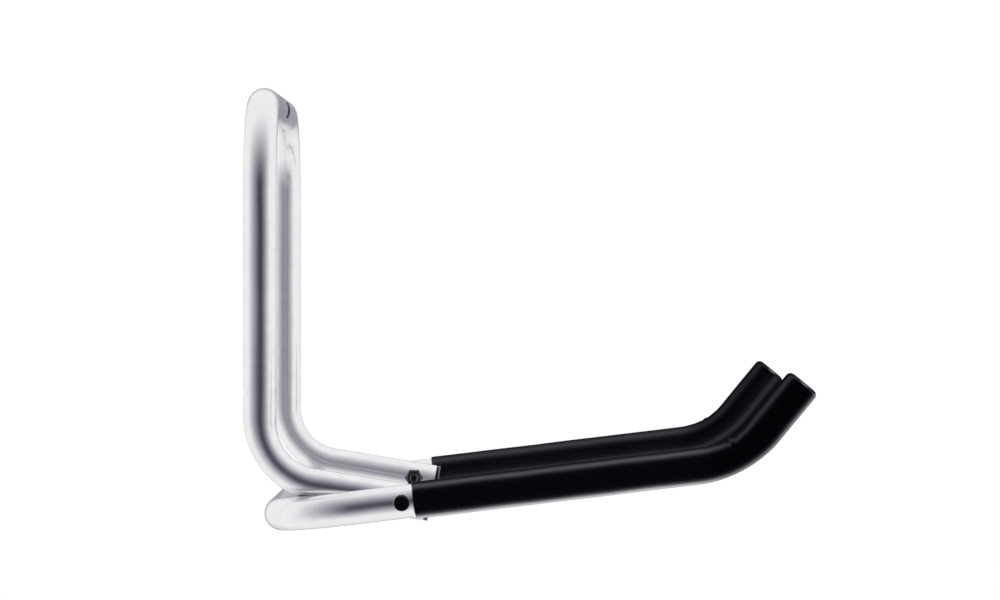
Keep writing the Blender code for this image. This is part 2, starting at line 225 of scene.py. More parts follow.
def build_marks_group():
    """Mask of sparse short rub marks, 1 on a mark and 0 between them."""
    tree, entry, result = new_shader_group("rub_marks", ("Vector", "Stretch"), ("Scale", "Cover"), "Mask")
    stretched = joined_vectors(tree, "MULTIPLY", entry["Vector"], entry["Stretch"])
    fine = add_node(tree, "ShaderNodeTexNoise", Vector=stretched.outputs[0], Scale=entry["Scale"],
                    Detail=4.0, Roughness=0.7)
    broad = add_node(tree, "ShaderNodeTexNoise", Vector=entry["Vector"], Scale=30.0, Detail=2.0)
    product = joined(tree, "MULTIPLY", fine.outputs["Fac"], broad.outputs["Fac"])
    top = joined(tree, "ADD", entry["Cover"], 0.06)
    tree.links.new(graded(tree, product, entry["Cover"], top), result)
    return tree


def build_wear_and_painted_light_group():
    """Mask of a spot of the surface, its amount broken up a little by noise; it carries painted shade,
    painted highlights and wear.
    """
    tree, entry, result = new_shader_group("edge_wear", ("Vector",), ("Amount", "Scale"), "Mask")
    noise = add_node(tree, "ShaderNodeTexNoise", Vector=entry["Vector"], Scale=entry["Scale"], Detail=2.0)
    broken = graded(tree, noise.outputs["Fac"], 0.3, 0.55, False, To_Min=0.75)
    tree.links.new(joined(tree, "MULTIPLY", entry["Amount"], broken), result)
    return tree


def place_group(tree, group, **inputs):
    return add_node(tree, "ShaderNodeGroup", {"node_tree": group}, **inputs).outputs[0]


def mesh_value(tree, name, output="Fac"):
    """Value of a mesh attribute, or its vector."""
    return add_node(tree, "ShaderNodeAttribute", {"attribute_name": name}).outputs[output]


def new_finish(name, light, dark, metallic, roughness, grain, height, follows_bar=False, marks=None,
               gloss=0.5, tint=(1, 1, 1), spot=None, ripple=None, strain=0.0):
    """Principled material with graded colour, roughness and relief.

    roughness holds its low and high value, grain its stretch and scale, height the depth of its relief in
    metres, and marks the stretch, scale, cover and added roughness of the rub marks. spot holds the mesh
    attribute that marks some places and their colour, metallic value and roughness; the finishes use it for
    painted shade, painted highlights, and wear with painted glints. ripple holds the stretch,
    scale and depth of a slow unevenness, and strain the roughness that a bend adds. follows_bar lays the
    patterns along the mesh's wrap attribute in place of its object coordinates.
    """
    material = bpy.data.materials.new(name)
    material.use_nodes = True
    tree = material.node_tree
    shader = tree.nodes["Principled BSDF"]
    shader.inputs["Metallic"].default_value = metallic
    shader.inputs["Specular IOR Level"].default_value = gloss
    shader.inputs["Specular Tint"].default_value = (*tint, 1)
    if follows_bar:
        vector = mesh_value(tree, "wrap", "Vector")
    else:
        vector = add_node(tree, "ShaderNodeTexCoord").outputs["Object"]

    def grained(along, size, low=0.0, high=1.0, detail=3.0):
        return place_group(tree, GRAIN, Vector=vector, Stretch=along, Scale=size, Low=low, High=high,
                           Detail=detail)

    stretch, scale = grain
    colour = blended_colour(tree, grained(EVEN, scale * 0.12), (*dark, 1), (*light, 1))
    rough = grained(stretch, scale, *roughness)
    if strain:
        rough = joined(tree, "ADD", rough, joined(tree, "MULTIPLY", mesh_value(tree, "strain"), strain))
    if marks:
        mark_stretch, mark_scale, cover, added = marks
        mask = place_group(tree, MARKS, Vector=vector, Stretch=mark_stretch, Scale=mark_scale, Cover=cover)
        rough = joined(tree, "MULTIPLY_ADD", mask, added, rough)
    # A spot is painted shade inside the tubes, a painted highlight on the plugs' rims, and wear with a
    # painted glint on the steel.
    if spot:
        spot_name, spot_colour, spot_metallic, spot_roughness = spot
        mask = place_group(tree, WEAR_AND_PAINTED_LIGHT, Vector=vector, Amount=mesh_value(tree, spot_name), Scale=scale * 0.5)
        colour = blended_colour(tree, mask, colour, (*spot_colour, 1))
        rough = blended(tree, mask, rough, spot_roughness)
        if spot_metallic != metallic:
            tree.links.new(blended(tree, mask, metallic, spot_metallic), shader.inputs["Metallic"])
    tree.links.new(colour, shader.inputs["Base Color"])
    tree.links.new(rough, shader.inputs["Roughness"])
    relief = grained(stretch, scale * 2)
    bump = add_node(tree, "ShaderNodeBump", Height=relief, Strength=1.0, Distance=height)
    if ripple:
        ripple_stretch, ripple_scale, depth = ripple
        slow = grained(ripple_stretch, ripple_scale, detail=0.5)
        bump = add_node(tree, "ShaderNodeBump", Height=slow, Strength=1.0, Distance=depth,
                        Normal=bump.outputs[0])
    tree.links.new(bump.outputs[0], shader.inputs["Normal"])
    return material


GRAIN = build_grain_group()
MARKS = build_marks_group()
WEAR_AND_PAINTED_LIGHT = build_wear_and_painted_light_group()
EVEN = (1, 1, 1)
ALONG = (1, 1, 0.012)
FINISHES = {
    # The aluminium's spot is painted shade: the bore and the faces of the holes are darkened.
    "satin_aluminium": new_finish(
        "satin_aluminium", (0.886, 0.886, 0.894), (0.826, 0.826, 0.834), 1.0, (0.17, 0.22), (ALONG, 900),
        3e-6, True, ((1, 1, 0.2), 160, 0.36, 0.10), spot=("inside", (0.20, 0.20, 0.22), 1.0, 0.5),
        ripple=((1, 1, 0.35), 60, 0.0002), strain=0.05),
    "soft_sleeve": new_finish(
        "black_soft_sleeve", (0.0006, 0.0006, 0.0008), (0.0003, 0.0003, 0.0004), 0.0, (0.20, 0.26),
        (EVEN, 300), 4e-6, True, ((1, 1, 0.1), 120, 0.36, 0.06), gloss=0.57, tint=(0.88, 0.87, 1.0)),
    # The plug's spot is a painted highlight: a lighter, metallic band along one side of its flange's rim.
    "plug_plastic": new_finish(
        "black_plug_plastic", (0.004, 0.004, 0.005), (0.0025, 0.0025, 0.003), 0.0, (0.22, 0.30), (EVEN, 900),
        6e-6, gloss=0.2, spot=("wear_and_glint", (0.15, 0.15, 0.17), 1.0, 0.25)),
    # The steel's spot is wear to bare metal on turned edges, painted strongest at their sides as a glint.
    "black_steel": new_finish(
        "black_oxide_steel", (0.002, 0.002, 0.003), (0.001, 0.001, 0.0015), 0.0, (0.24, 0.34), (EVEN, 1400),
        6e-6, gloss=0.12, spot=("wear_and_glint", (0.17, 0.17, 0.19), 1.0, 0.25)),
    "zinc_steel": new_finish(
        "zinc_plated_steel", (0.60, 0.61, 0.64), (0.50, 0.51, 0.54), 1.0, (0.20, 0.32), (EVEN, 1600), 6e-6),
    "black_nylon": new_finish(
        "black_nylon", (0.018, 0.018, 0.019), (0.010, 0.010, 0.011), 0.0, (0.40, 0.52), (EVEN, 1100), 1e-5),
}


# Routes

def bend_line(corners, radii, extend=0.0):
    """Centreline through the corners, each inner one rounded to its radius, and what its bends are."""
    first = (corners[0] - corners[1]).normalized()
    last = (corners[-1] - corners[-2]).normalized()
    points = [corners[0] + first * extend]
    bends = []
    for before, corner, after, radius in zip(corners, corners[1:], corners[2:], radii):
        start_way = (corner - before).normalized()
        end_way = (after - corner).normalized()
        angle = start_way.angle(end_way)
        normal = start_way.cross(end_way).normalized()
        inward = normal.cross(start_way)
        centre = corner - start_way * radius * tan(angle / 2) + inward * radius
        bends.append((centre, normal, start_way, radius, angle))
        steps = ceil(angle / BEND_STEP)
        for step in range(steps + 1):
            turn = angle * step / steps
            points.append(centre - inward * radius * cos(turn) + start_way * radius * sin(turn))
    points.append(corners[-1] + last * extend)
    return divide(points), bends


def divide(points):
    """The same line with its straight stretches cut into short steps."""
    line = [points[0]]
    for start, end in zip(points, points[1:]):
        pieces = ceil((end - start).length / STRAIGHT_STEP)
        line += [start.lerp(end, piece / pieces) for piece in range(1, pieces + 1)]
    return line


def mirrored(left):
    """Corners of a left half followed by those of its mirror image."""
    return left + [Vector((corner.x, -corner.y, corner.z)) for corner in reversed(left)]


def frame_line(extend=0.0):
    foot_height = (PIVOT_REACH - TUBE_RADIUS) * tan(FOOT_SLOPE)
    left = [
        Vector((PIVOT_REACH, -LEG_Y, 0)) + FOOT_WAY * FOOT_PAST_PIVOT,
        Vector((TUBE_RADIUS, -LEG_Y, foot_height)),
        Vector((TUBE_RADIUS, -LEG_Y, FRAME_TOP)),
    ]
    radii = [FOOT_BEND_RADIUS, TOP_BEND_RADIUS, TOP_BEND_RADIUS, FOOT_BEND_RADIUS]
    return bend_line(mirrored(left), radii, extend)


def elbow_and_tip(side, tip):
    """The elbow's corner in the arm's frame, and the point that lies the tip's length past its bend."""
    tangent = ELBOW_RADIUS * tan(ELBOW_ANGLE / 2)
    elbow = Vector((ARM_FRONT_REACH + tangent, side * ARM_Y, 0))
    return elbow, elbow + Vector((cos(ELBOW_ANGLE), 0, sin(ELBOW_ANGLE))) * (tangent + tip)


def arm_line(extend=0.0):
    elbow, end = elbow_and_tip(-1, TIP_LENGTH)
    radii = [ELBOW_RADIUS, ARM_BACK_RADIUS, ARM_BACK_RADIUS, ELBOW_RADIUS]
    return bend_line(mirrored([end, elbow, Vector((-ARM_BACK_REACH, -ARM_Y, 0))]), radii, extend)


def flatten_bends(mesh, bends):
    """Draw each bend's inner and outer sides in, as a bent tube flattens, and mark the bends."""
    strains = mesh.attributes.new("strain", "FLOAT", "POINT").data
    for centre, normal, start_way, radius, angle in bends:
        inward = normal.cross(start_way)
        loss = BEND_FLATTENING * (2 * TUBE_RADIUS / radius) ** 2
        for vertex, strain in zip(mesh.vertices, strains):
            offset = vertex.co - centre
            height = offset.dot(normal)
            flat = offset - normal * height
            turn = atan2(flat.dot(start_way), -flat.dot(inward))
            across = flat.length - radius
            if 0 < turn < angle and abs(across) < 2 * TUBE_RADIUS and abs(height) < 2 * TUBE_RADIUS:
                kept = 1 - loss * sin(pi * turn / angle)
                vertex.co = centre + normal * height + flat.normalized() * (radius + across * kept)
                strain.value = sin(pi * turn / angle)


def store_wrap(mesh, line):
    """Attribute that follows a bar: two coordinates round it and one along it, in metres."""
    route = np.array([tuple(point) for point in line])
    steps = route[1:] - route[:-1]
    lengths = np.linalg.norm(steps, axis=1)
    ways = steps / lengths[:, None]
    starts = np.concatenate(([0.0], np.cumsum(lengths)[:-1]))
    side = np.cross(ways[0], (0.3, 0.5, 0.81))
    sides = []
    for way in ways:
        side = side - way * side.dot(way)
        side = side / np.linalg.norm(side)
        sides.append(side)
    sides = np.array(sides)
    count = len(mesh.vertices)
    flat = np.empty(count * 3)
    mesh.vertices.foreach_get("co", flat)
    places = flat.reshape(-1, 3)
    best = np.full(count, 1e9)
    wrap = np.zeros((count, 3))
    for index, way in enumerate(ways):
        offset = places - route[index]
        along = np.clip(offset @ way, 0, lengths[index])
        away = offset - along[:, None] * way
        distance = np.einsum("ij,ij->i", away, away)
        nearer = distance < best
        best[nearer] = distance[nearer]
        across = np.cross(way, sides[index])
        wrap[nearer, 0] = away[nearer] @ sides[index]
        wrap[nearer, 1] = away[nearer] @ across
        wrap[nearer, 2] = starts[index] + along[nearer]
    layer = mesh.attributes.new("wrap", "FLOAT_VECTOR", "POINT")
    layer.data.foreach_set("vector", wrap.ravel())


def mark_inside(mesh):
    """Attribute of 1 on every face that reaches into a tube: its bore and the faces of its holes, where the
    aluminium's finish paints shade.
    """
    flat = np.empty(len(mesh.vertices) * 3)
    mesh.attributes["wrap"].data.foreach_get("vector", flat)
    wrap = flat.reshape(-1, 3)
    deep = np.hypot(wrap[:, 0], wrap[:, 1]) < TUBE_RADIUS - 0.8 * TUBE_WALL
    inside = []
    for polygon in mesh.polygons:
        reached = any(deep[vertex] for vertex in polygon.vertices)
        inside += [float(reached)] * len(polygon.vertices)
    mesh.attributes.new("inside", "FLOAT", "CORNER").data.foreach_set("value", inside)


def mark_wear_and_glint(mesh, amount):
    """Point attribute of wear and painted glint, from a function of a vertex of the mesh in its own frame."""
    wear_and_glint = [float(amount(vertex.co)) for vertex in mesh.vertices]
    mesh.attributes.new("wear_and_glint", "FLOAT", "POINT").data.foreach_set("value", wear_and_glint)


def side_glint(spot, inner):
    """Wear and painted glint of a turned edge past an inner radius, strongest at its two sides, where the
    glint falls.
    """
    reach = hypot(spot.x, spot.y)
    return 0.15 + 0.85 * (spot.x / reach) ** 2 if reach > inner else 0.0


# Finished pieces

def finish_piece(name, mesh, body, slot_name, nodes):
    """Object at the origin that rides on a body and stands for its nodes."""
    mesh.materials.clear()
    mesh.materials.append(FINISHES[slot_name])
    mesh.shade_smooth()
    mesh.set_sharp_from_angle(angle=SMOOTH_BELOW)
    piece = bpy.data.objects.new(name, mesh)
    bpy.context.scene.collection.objects.link(piece)
    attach(piece, body)
    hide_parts(*nodes)
    return piece


def baked(holder):
    """Plain mesh of an object with its modifiers; the object is removed."""
    bpy.context.view_layer.update()
    depsgraph = bpy.context.evaluated_depsgraph_get()
    mesh = bpy.data.meshes.new_from_object(holder.evaluated_get(depsgraph))
    bpy.data.objects.remove(holder, do_unlink=True)
    return mesh


def hold(name, data):
    holder = bpy.data.objects.new(name, data)
    bpy.context.scene.collection.objects.link(holder)
    return holder


def place_along(way, origin):
    """Matrix that turns local Z to the given way and moves it to the origin, with local X kept level."""
    side = AXIS_Y.cross(way) if abs(way.dot(AXIS_Y)) < 0.9 else AXIS_X
    side = side.normalized()
    return Matrix.Translation(origin) @ Matrix((side, way.cross(side), way)).transposed().to_4x4()


def mesh_from(shape, name):
    """Plain mesh of a bmesh, which is freed."""
    mesh = bpy.data.meshes.new(name)
    shape.to_mesh(mesh)
    shape.free()
    return mesh


def bridge(shape, pairs, sides):
    """Faces between pairs of rings, pointing out; a ring of one vertex is a pole."""
    for low, high in pairs:
        for index in range(sides):
            spots = (low, index), (low, index + 1), (high, index + 1), (high, index)
            corners = list(dict.fromkeys(ring[spot % len(ring)] for ring, spot in spots))
            if len(corners) > 2:
                shape.faces.new(corners)
    bmesh.ops.recalc_face_normals(shape, faces=shape.faces)


# Geometry node trees

def new_geometry_tree(name, **inputs):
    """Empty geometry tree with the kinds of its named inputs. Underscores stand for spaces."""
    tree = bpy.data.node_groups.new(name, "GeometryNodeTree")
    tree.interface.new_socket("Geometry", in_out="INPUT", socket_type="NodeSocketGeometry")
    for label, kind in inputs.items():
        tree.interface.new_socket(label.replace("_", " "), in_out="INPUT", socket_type="NodeSocket" + kind)
    tree.interface.new_socket("Geometry", in_out="OUTPUT", socket_type="NodeSocketGeometry")
    return tree, tree.nodes.new("NodeGroupInput").outputs, tree.nodes.new("NodeGroupOutput").inputs[0]


def end_tree(tree, entry, result, geometry):
    """Close a geometry tree with its realised instances and its material."""
    real = add_node(tree, "GeometryNodeRealizeInstances", Geometry=geometry)
    coated = add_node(tree, "GeometryNodeSetMaterial", Geometry=real.outputs[0], Material=entry["Finish"])
    tree.links.new(coated.outputs[0], result)
    return tree


def run_tree(holder, tree, **inputs):
    """Plain mesh that the tree makes of the holder, with its named inputs set."""
    modifier = holder.modifiers.new(tree.name, "NODES")
    modifier.node_group = tree
    for item in tree.interface.items_tree:
        label = item.name.replace(" ", "_")
        if item.in_out == "INPUT" and label in inputs:
            modifier[item.identifier] = inputs[label]
    return baked(holder)


def build_tube_tree():
    """Tube swept along the curve, hollowed along a second curve, and drilled with the drills."""
    tree, entry, result = new_geometry_tree(
        "drilled_tube", Bore_line="Object", Drills="Object", Outer_radius="Float", Bore_radius="Float",
        Sides="Int", Bore_sides="Int", Finish="Material")

    def geometry_of(label):
        return add_node(tree, "GeometryNodeObjectInfo", Object=entry[label]).outputs["Geometry"]

    def swept(line, sides, radius):
        ring = add_node(tree, "GeometryNodeCurvePrimitiveCircle", Resolution=entry[sides],
                        Radius=entry[radius])
        bar = add_node(tree, "GeometryNodeCurveToMesh", Curve=line, Profile_Curve=ring.outputs["Curve"],
                       Fill_Caps=True)
        return bar.outputs["Mesh"]

    def cut(whole, cutter):
        settings = {"operation": "DIFFERENCE", "solver": "EXACT"}
        both = add_node(tree, "GeometryNodeMeshBoolean", settings, Mesh_1=whole, Mesh_2=cutter)
        return both.outputs["Mesh"]

    outer = swept(entry["Geometry"], "Sides", "Outer radius")
    bore = swept(geometry_of("Bore line"), "Bore sides", "Bore radius")
    return end_tree(tree, entry, result, cut(cut(outer, bore), geometry_of("Drills")))


def build_thread_tree():
    """The shank with a screw thread wound round it from its end."""
    tree, entry, result = new_geometry_tree(
        "wound_thread", Radius="Float", Depth="Float", Turns="Float", Length="Float", Start="Vector",
        Finish="Material")
    spiral = add_node(tree, "GeometryNodeCurveSpiral", Resolution=48, Rotations=entry["Turns"],
                      Start_Radius=entry["Radius"], End_Radius=entry["Radius"], Height=entry["Length"])
    ridge = add_node(tree, "GeometryNodeCurvePrimitiveCircle", Resolution=4, Radius=entry["Depth"])
    wound = add_node(tree, "GeometryNodeCurveToMesh", Curve=spiral.outputs[0],
                     Profile_Curve=ridge.outputs["Curve"], Fill_Caps=True)
    moved = add_node(tree, "GeometryNodeTransform", Geometry=wound.outputs[0], Translation=entry["Start"])
    both = add_node(tree, "GeometryNodeJoinGeometry")
    tree.links.new(entry["Geometry"], both.inputs[0])
    tree.links.new(moved.outputs[0], both.inputs[0])
    return end_tree(tree, entry, result, both.outputs[0])


# Tubes

def curve_holder(name, line):
    curve = bpy.data.curves.new(name, "CURVE")
    curve.dimensions = "3D"
    spline = curve.splines.new("POLY")
    spline.points.add(len(line) - 1)
    for spline_point, point in zip(spline.points, line):
        spline_point.co = (*point, 1)
    return hold(name, curve)


def drill_holder(drills):
    """One object with a closed cylinder for each drill, given as radius, start, end and length along Y."""
    shape = bmesh.new()
    for radius, start, end, stretch in drills:
        way = end - start
        place = place_along(way.normalized(), (start + end) / 2) @ Matrix.Rotation(pi / DRILL_SIDES, 4, "Z")
        first = len(shape.verts)
        bmesh.ops.create_cone(shape, cap_ends=True, segments=DRILL_SIDES, radius1=radius, radius2=radius,
                              depth=way.length, matrix=place)
        shape.verts.ensure_lookup_table()
        for vertex in shape.verts[first:]:
            vertex.co.y += copysign(stretch / 2, vertex.co.y - start.y)
    return hold("drills", mesh_from(shape, "drills"))


def make_tube(name, route, drills, body, node, place=None):
    """Hollow drilled tube along a route, with its bends flattened."""
    line, bends = route()
    bore = curve_holder("bore_line", route(OVERSHOOT)[0])
    cutters = drill_holder(drills)
    mesh = run_tree(
        curve_holder(name, line),
        TUBE_TREE,
        Bore_line=bore,
        Drills=cutters,
        Outer_radius=TUBE_RADIUS,
        Bore_radius=BORE_RADIUS,
        Sides=TUBE_SIDES,
        Bore_sides=BORE_SIDES,
        Finish=FINISHES["satin_aluminium"],
    )
    for helper in (bore, cutters):
        bpy.data.objects.remove(helper, do_unlink=True)
    flatten_bends(mesh, bends)
    store_wrap(mesh, line)
    mark_inside(mesh)
    if place:
        mesh.transform(place)
    return finish_piece(name, mesh, body, "satin_aluminium", [node])


def through(centre, way, radius, reach=2 * TUBE_RADIUS):
    return radius, centre - way * reach, centre + way * reach, 0.0


def make_tubes():
    top = Vector((TUBE_RADIUS, 0, FRAME_TOP))
    drills = [
        (TOP_SLOT_HEIGHT / 2, top + AXIS_X * GAP, top + AXIS_X * 2 * TUBE_RADIUS,
         TOP_SLOT_LENGTH - TOP_SLOT_HEIGHT),
        (WALL_HOLE / 2, top - AXIS_X * 2 * TUBE_RADIUS, top - AXIS_X * GAP, 0.0),
    ]
    for side in SIDES.values():
        drills.append(through(Vector((TUBE_RADIUS, side * LEG_Y, LEG_HOLE_HEIGHT)), AXIS_X, WALL_HOLE / 2))
        drills.append(through(Vector((PIVOT_REACH, side * LEG_Y, 0)), AXIS_Y, PIVOT_HOLE / 2))
    make_tube("wall_frame_tube", frame_line, drills, "wall_frame", "wall_frame")
    drills = [through(Vector((0, side * ARM_Y, 0)), AXIS_Y, PIVOT_HOLE / 2) for side in SIDES.values()]
    make_tube("carrying_arm_tube", arm_line, drills, "arm", "carrying_arm", ARM_PLACE)


# Turned pieces

def soften(profile, radius, closed=False):
    """Profile with its corners rounded; corners on the axis stay."""
    count = len(profile)
    rounded = []
    for index, (r, h) in enumerate(profile):
        at_end = not closed and index in (0, count - 1)
        if at_end or r == 0:
            rounded.append((r, h))
            continue
        corner = Vector((r, h))
        before = Vector(profile[index - 1])
        after = Vector(profile[(index + 1) % count])
        into = corner + (before - corner).normalized() * min(radius, (before - corner).length * 0.45)
        out = corner + (after - corner).normalized() * min(radius, (after - corner).length * 0.45)
        for step in range(4):
            share = step / 3
            point = into.lerp(corner, share).lerp(corner.lerp(out, share), share)
            rounded.append((point.x, point.y))
    return rounded


def turned(profile, closed=False, segments=ROUND_SEGMENTS, shape=None):
    """Closed mesh turned round Z from pairs of radius and height, each radius changed by shape if given."""
    blank = bmesh.new()
    rings = []
    for radius, height in profile:
        if radius == 0:
            rings.append([blank.verts.new((0, 0, height))])
            continue
        ring = []
        for index in range(segments):
            angle = 2 * pi * index / segments
            reach = shape(angle, radius, height) if shape else radius
            ring.append(blank.verts.new((reach * cos(angle), reach * sin(angle), height)))
        rings.append(ring)
    bridge(blank, zip(rings, rings[1:] + rings[:1] if closed else rings[1:]), segments)
    return mesh_from(blank, "turned")


def carve(mesh, cutters, operation="DIFFERENCE"):
    """Plain mesh left after each cutter mesh is taken out of it, or kept as the shared part."""
    holder = hold("carved", mesh)
    helpers = [hold("cutter", cutter) for cutter in cutters]
    for helper in helpers:
        boolean = holder.modifiers.new("carve", "BOOLEAN")
        boolean.operation = operation
        boolean.solver = "EXACT"
        boolean.object = helper
    result = baked(holder)
    for helper in helpers:
        bpy.data.objects.remove(helper, do_unlink=True)
    return result


def ring_profile(inner, outer, thickness):
    return [(inner, thickness), (outer, thickness), (outer, 0), (inner, 0)]


def make_ring(name, sizes, edge, place, body, slot_name, node):
    mesh = turned(soften(ring_profile(*sizes), edge, True), True)
    mesh.transform(place)
    return finish_piece(name, mesh, body, slot_name, [node])


def make_plug(label, side):
    """Plug in a foot: crowned flange with a moulded step, and a ribbed hollow spigot."""
    spigot = BORE_RADIUS - GAP - PLUG_RIB
    pitch = PLUG_DEPTH / 3
    edge = TUBE_RADIUS - PLUG_EDGE_RADIUS
    profile = [(0, PLUG_FLANGE)]
    for index in range(7):
        turn = pi / 2 * index / 6
        drop = PLUG_EDGE_RADIUS * (1 - cos(turn))
        profile.append((edge + PLUG_EDGE_RADIUS * sin(turn), PLUG_FLANGE - drop))
    profile += [(TUBE_RADIUS, PLUG_STEP_HEIGHT + 0.00025), (TUBE_RADIUS - PLUG_STEP_DEPTH, PLUG_STEP_HEIGHT),
                (TUBE_RADIUS - PLUG_STEP_DEPTH, 0), (spigot, 0)]
    for rib in (1, 2):
        peak = -rib * pitch
        profile += [(spigot, peak + PLUG_RIB), (spigot + PLUG_RIB, peak), (spigot, peak - PLUG_RIB)]
    profile += [(spigot, -PLUG_DEPTH), (spigot - PLUG_WALL, -PLUG_DEPTH), (spigot - PLUG_WALL, 0), (0, 0)]
    mesh = turned(profile)

    # Painted highlight: the part of the flange's rim that gets the lighter, metallic band.
    def painted_highlight_on_lower_rim(spot):
        near_edge = hypot(spot.x, spot.y) > edge + PLUG_EDGE_RADIUS / 2
        return spot.z > PLUG_FLANGE * 0.6 and near_edge and spot.x < TUBE_RADIUS * 0.6

    mark_wear_and_glint(mesh, painted_highlight_on_lower_rim)
    end = Vector((PIVOT_REACH, side * LEG_Y, 0)) + FOOT_WAY * (FOOT_PAST_PIVOT + GAP)
    mesh.transform(place_along(FOOT_WAY, end))
    return finish_piece("foot_plug_" + label, mesh, "wall_frame", "plug_plastic", ["leg_plug_" + label])


def make_screw(label, under_head, outward):
    """Socket-head screw with a knurled head, a hexagon socket and a wound thread."""
    knurl_low, knurl_high = 0.0007, HEAD_HEIGHT - HEAD_CHAMFER - 0.0005
    core = SCREW_RADIUS - THREAD_DEPTH
    thread_start = -SCREW_LENGTH + THREAD_LENGTH
    socket = SOCKET_FLATS / sqrt(3)
    floor = HEAD_HEIGHT - SOCKET_DEPTH

    def knurl(angle, radius, height):
        if radius > HEAD_RADIUS - 0.00001 and knurl_low < height < knurl_high:
            return radius - KNURL_DEPTH * (0.5 - 0.5 * cos(angle * KNURLS))
        return radius

    profile = [(0, HEAD_HEIGHT)]
    profile += soften([(0.001, HEAD_HEIGHT), (HEAD_RADIUS - HEAD_CHAMFER, HEAD_HEIGHT),
                       (HEAD_RADIUS, HEAD_HEIGHT - HEAD_CHAMFER), (HEAD_RADIUS, knurl_high + 0.0001)],
                      0.0002)
    profile += [(HEAD_RADIUS, height)
                for height in (knurl_high - 0.0001, knurl_low + 0.0001, knurl_low - 0.0001)]
    profile += soften([(HEAD_RADIUS, 0.0004), (HEAD_RADIUS, 0), (SCREW_RADIUS + 0.0003, 0),
                       (SCREW_RADIUS, -0.0004)], 0.0002)
    profile += [(SCREW_RADIUS, thread_start + SCREW_POINT), (core, thread_start),
                (core, -SCREW_LENGTH + SCREW_POINT), (core - SCREW_POINT, -SCREW_LENGTH),
                (core - 0.0009, -SCREW_LENGTH), (0, -SCREW_LENGTH)]
    mesh = turned(profile, segments=288, shape=knurl)
    hexagon = turned([(0, floor - 0.0012), (socket, floor), (socket, HEAD_HEIGHT + OVERSHOOT),
                      (0, HEAD_HEIGHT + OVERSHOOT)], segments=6)
    mouth = turned([(0, HEAD_HEIGHT - 0.0008), (socket - 0.0005, HEAD_HEIGHT - 0.0003),
                    (socket + 0.0004, HEAD_HEIGHT + 0.0006), (0, HEAD_HEIGHT + 0.0006)])
    mesh = carve(mesh, [hexagon, mouth])
    wound = THREAD_LENGTH - 2 * THREAD_INSET
    mesh = run_tree(
        hold("screw", mesh),
        THREAD_TREE,
        Radius=core + THREAD_DEPTH - THREAD_RIDGE,
        Depth=THREAD_RIDGE,
        Turns=wound / THREAD_PITCH,
        Length=wound,
        Start=(0, 0, -SCREW_LENGTH + THREAD_INSET),
        Finish=FINISHES["black_steel"],
    )
    # Wear and painted glint on the outer edge of the threaded end, strongest at its sides.
    mark_wear_and_glint(mesh, lambda spot: spot.z < thread_start and side_glint(spot, core - 0.0007))
    mesh.transform(place_along(outward, under_head))
    return finish_piece("socket_screw_" + label, mesh, "wall_frame", "black_steel", ["pivot_screw_" + label])


def make_nut(label, seat, inward):
    """Self-locking nut: a hexagon cut down to a turned blank, with a rolled collar over the nylon ring."""
    corner = NUT_FLATS / sqrt(3)
    across = NUT_FLATS / 2 * NUT_FACE_SHARE
    widest = corner * NUT_BLANK_SHARE
    rise = (widest - across) * tan(radians(30))
    hole = PIVOT_HOLE / 2
    recess = INSERT_RADIUS + GAP
    floor = NUT_HEIGHT - INSERT_THICKNESS - GAP
    blank = [(recess, NUT_HEIGHT), (NUT_COLLAR_RADIUS - NUT_COLLAR_ROUND, NUT_HEIGHT)]
    for index in range(1, 7):
        turn = pi / 2 * index / 6
        blank.append((NUT_COLLAR_RADIUS - NUT_COLLAR_ROUND * (1 - sin(turn)),
                      NUT_HEIGHT - NUT_COLLAR_ROUND * (1 - cos(turn))))
    blank += [(NUT_COLLAR_RADIUS, NUT_HEX_HEIGHT + 0.0002), (NUT_COLLAR_RADIUS + 0.0002, NUT_HEX_HEIGHT),
              (across, NUT_HEX_HEIGHT), (widest, NUT_HEX_HEIGHT - rise), (widest, rise), (across, 0),
              (hole + 0.0004, 0), (hole, 0.0004), (hole, floor), (recess, floor)]
    bar = turned([(0, -NUT_HEIGHT), (corner, -NUT_HEIGHT), (corner, 2 * NUT_HEIGHT), (0, 2 * NUT_HEIGHT)],
                 segments=6)
    mesh = carve(bar, [turned(blank, True)], "INTERSECT")
    collar = NUT_HEX_HEIGHT + 0.0001
    # Wear and painted glint on the nut's rolled collar, strongest at its sides.
    mark_wear_and_glint(mesh, lambda spot: spot.z > collar and side_glint(spot, recess + 0.0002))
    mesh.transform(place_along(inward, seat))
    name = "self_locking_nut_" + label
    return finish_piece(name, mesh, "wall_frame", "black_steel", ["lock_nut_" + label])


def make_bush(name, centre, body, node, place=None):
    """Distance bush across a tube's bore."""
    half = sqrt(BORE_RADIUS ** 2 - BUSH_RADIUS ** 2) - GAP
    matrix = place_along(AXIS_Y, centre - AXIS_Y * half)
    if place:
        matrix = place @ matrix
    sizes = (PIVOT_HOLE / 2, BUSH_RADIUS, 2 * half)
    return make_ring(name, sizes, BUSH_EDGE, matrix, body, "zinc_steel", node)


